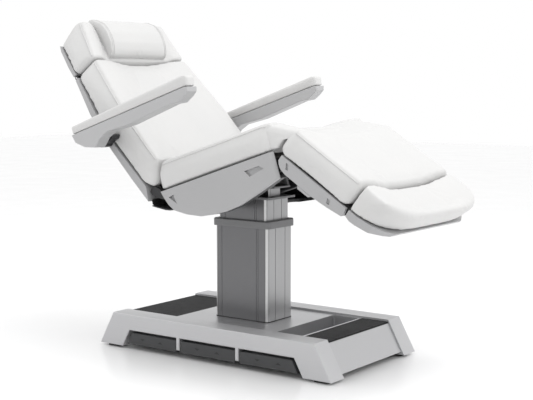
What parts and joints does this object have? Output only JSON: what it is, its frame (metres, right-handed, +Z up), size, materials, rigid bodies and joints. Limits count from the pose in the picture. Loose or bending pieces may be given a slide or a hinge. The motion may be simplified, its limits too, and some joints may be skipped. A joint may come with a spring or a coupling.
{
  "type": "facial treatment bed",
  "caption": "Electric facial treatment bed: padded head, back, seat, leg and foot sections with armrests, on a telescopic column over a low base with foot pedals.",
  "frame": {"origin": "on the floor, under the middle of the base", "axes": "+X toward the foot end, +Y toward the bed's left side, +Z up"},
  "size_m": [1.5783, 0.866, 1.2898],
  "materials": {
    "silver_metal": "satin silver",
    "dark_mat": "matt, fine ribs",
    "black_rubber": "matt",
    "black_plastic": "satin",
    "steel": "brushed",
    "column_aluminium": "brushed, anodised",
    "collar_grey": "satin",
    "white_leather": "satin synthetic leather",
    "board": "black-stained plywood",
    "shell_grey": "satin",
    "arm_grey": "satin",
    "frame_black": "powder coat",
    "pedal_grey": "satin"
  },
  "bodies": {
    "base": {"rail_near": "silver_metal", "rail_far": "silver_metal", "deck": "silver_metal", "mat_head": "dark_mat", "mat_foot": "dark_mat", "rubber_feet": "black_rubber", "control_box": "black_plastic", "cord_gland": "black_plastic", "pedal_carriers": "steel", "column_gasket": "black_rubber", "column_outer": "column_aluminium", "column_collar": "collar_grey", "lift_spindle": "steel"},
    "lift_mid": {"column_mid": "column_aluminium", "mid_cap": "collar_grey"},
    "lift_top": {"column_inner": "column_aluminium", "tilt_head": "steel"},
    "seat": {"seat_cushion": "white_leather", "seat_board": "board", "seat_tub": "shell_grey", "seat_frame": "frame_black", "tilt_pin": "steel", "back_hinge_pins": "steel", "leg_hinge_pins": "steel", "hinge_cheeks": "black_plastic", "rear_fairing": "black_plastic", "back_actuator": "black_plastic", "leg_actuator": "black_plastic"},
    "back": {"back_cushion": "white_leather", "back_shell": "shell_grey", "back_frame": "frame_black", "back_knuckles": "black_plastic", "head_hinge_pin": "steel", "arm_shafts": "steel"},
    "head": {"head_knuckles": "black_plastic", "head_shell": "shell_grey", "head_cushion": "white_leather", "pillow": "white_leather"},
    "leg": {"leg_cushion": "white_leather", "leg_shell": "shell_grey", "leg_frame": "frame_black", "foot_lock_housings": "shell_grey"},
    "foot": {"foot_cushion": "white_leather", "foot_shell": "shell_grey", "foot_slides": "steel"},
    "arm_bracket_near": {"arm_bracket_near": "black_plastic"},
    "arm_bracket_far": {"arm_bracket_far": "black_plastic"},
    "arm_near": {"arm_body_near": "arm_grey", "arm_pad_near": "white_leather"},
    "arm_far": {"arm_body_far": "arm_grey", "arm_pad_far": "white_leather"},
    "pedal_near_head": {"pedal_near_head": "pedal_grey"},
    "pedal_near_mid": {"pedal_near_mid": "pedal_grey"},
    "pedal_near_foot": {"pedal_near_foot": "pedal_grey"},
    "pedal_far_head": {"pedal_far_head": "pedal_grey"},
    "pedal_far_mid": {"pedal_far_mid": "pedal_grey"},
    "pedal_far_foot": {"pedal_far_foot": "pedal_grey"}
  },
  "joints": [
    {"name": "lift_lower_stage", "type": "slide", "parent": "base", "child": "lift_mid", "axis": [0, 0, 1], "range_m": [-0.03, 0.14]},
    {"name": "lift_upper_stage", "type": "slide", "parent": "lift_mid", "child": "lift_top", "axis": [0, 0, 1], "range_m": [-0.03, 0.14]},
    {"name": "seat_tilt", "type": "hinge", "parent": "lift_top", "child": "seat", "pos_m": [0.09, 0, 0.6755], "axis": [0, -1, 0], "range_deg": [-18.3, 2]},
    {"name": "back_recline", "type": "hinge", "parent": "seat", "child": "back", "pos_m": [-0.2284, 0, 0.6261], "axis": [0, -1, 0], "range_deg": [0, 64.5]},
    {"name": "head_tilt", "type": "hinge", "parent": "back", "child": "head", "pos_m": [-0.65607, 0, 1.0419], "axis": [0, -1, 0], "range_deg": [0, 35]},
    {"name": "leg_lift", "type": "hinge", "parent": "seat", "child": "leg", "pos_m": [0.3275, 0, 0.7958], "axis": [0, -1, 0], "range_deg": [-4, 50.5]},
    {"name": "foot_extension", "type": "slide", "parent": "leg", "child": "foot", "axis": [0.8425, 0, -0.5388], "range_m": [0, 0.1]},
    {"name": "arm_level_near", "type": "hinge", "parent": "back", "child": "arm_bracket_near", "pos_m": [-0.435, -0.364, 0.7995], "axis": [0, -1, 0], "range_deg": [-64.5, 0]},
    {"name": "arm_flip_near", "type": "hinge", "parent": "arm_bracket_near", "child": "arm_near", "pos_m": [-0.435, -0.364, 0.7995], "axis": [0, -1, 0], "range_deg": [0, 95]},
    {"name": "arm_level_far", "type": "hinge", "parent": "back", "child": "arm_bracket_far", "pos_m": [-0.435, 0.364, 0.7995], "axis": [0, -1, 0], "range_deg": [-64.5, 0]},
    {"name": "arm_flip_far", "type": "hinge", "parent": "arm_bracket_far", "child": "arm_far", "pos_m": [-0.435, 0.364, 0.7995], "axis": [0, -1, 0], "range_deg": [0, 95]},
    {"name": "press_near_head", "type": "hinge", "parent": "base", "child": "pedal_near_head", "pos_m": [-0.27, -0.272, 0.05], "axis": [0, 1, 0], "range_deg": [-3, 3], "stiffness_Nm_per_rad": 20},
    {"name": "press_near_mid", "type": "hinge", "parent": "base", "child": "pedal_near_mid", "pos_m": [-0.0035, -0.272, 0.05], "axis": [0, 1, 0], "range_deg": [-3, 3], "stiffness_Nm_per_rad": 20},
    {"name": "press_near_foot", "type": "hinge", "parent": "base", "child": "pedal_near_foot", "pos_m": [0.266, -0.272, 0.05], "axis": [0, 1, 0], "range_deg": [-3, 3], "stiffness_Nm_per_rad": 20},
    {"name": "press_far_head", "type": "hinge", "parent": "base", "child": "pedal_far_head", "pos_m": [-0.27, 0.272, 0.05], "axis": [0, 1, 0], "range_deg": [-3, 3], "stiffness_Nm_per_rad": 20},
    {"name": "press_far_mid", "type": "hinge", "parent": "base", "child": "pedal_far_mid", "pos_m": [-0.0035, 0.272, 0.05], "axis": [0, 1, 0], "range_deg": [-3, 3], "stiffness_Nm_per_rad": 20},
    {"name": "press_far_foot", "type": "hinge", "parent": "base", "child": "pedal_far_foot", "pos_m": [0.266, 0.272, 0.05], "axis": [0, 1, 0], "range_deg": [-3, 3], "stiffness_Nm_per_rad": 20}
  ],
  "couplings": [
    {"joint": "lift_upper_stage", "follows": "lift_lower_stage", "ratio": 1},
    {"joint": "arm_level_near", "follows": "back_recline", "ratio": -1},
    {"joint": "arm_level_far", "follows": "back_recline", "ratio": -1}
  ]
}
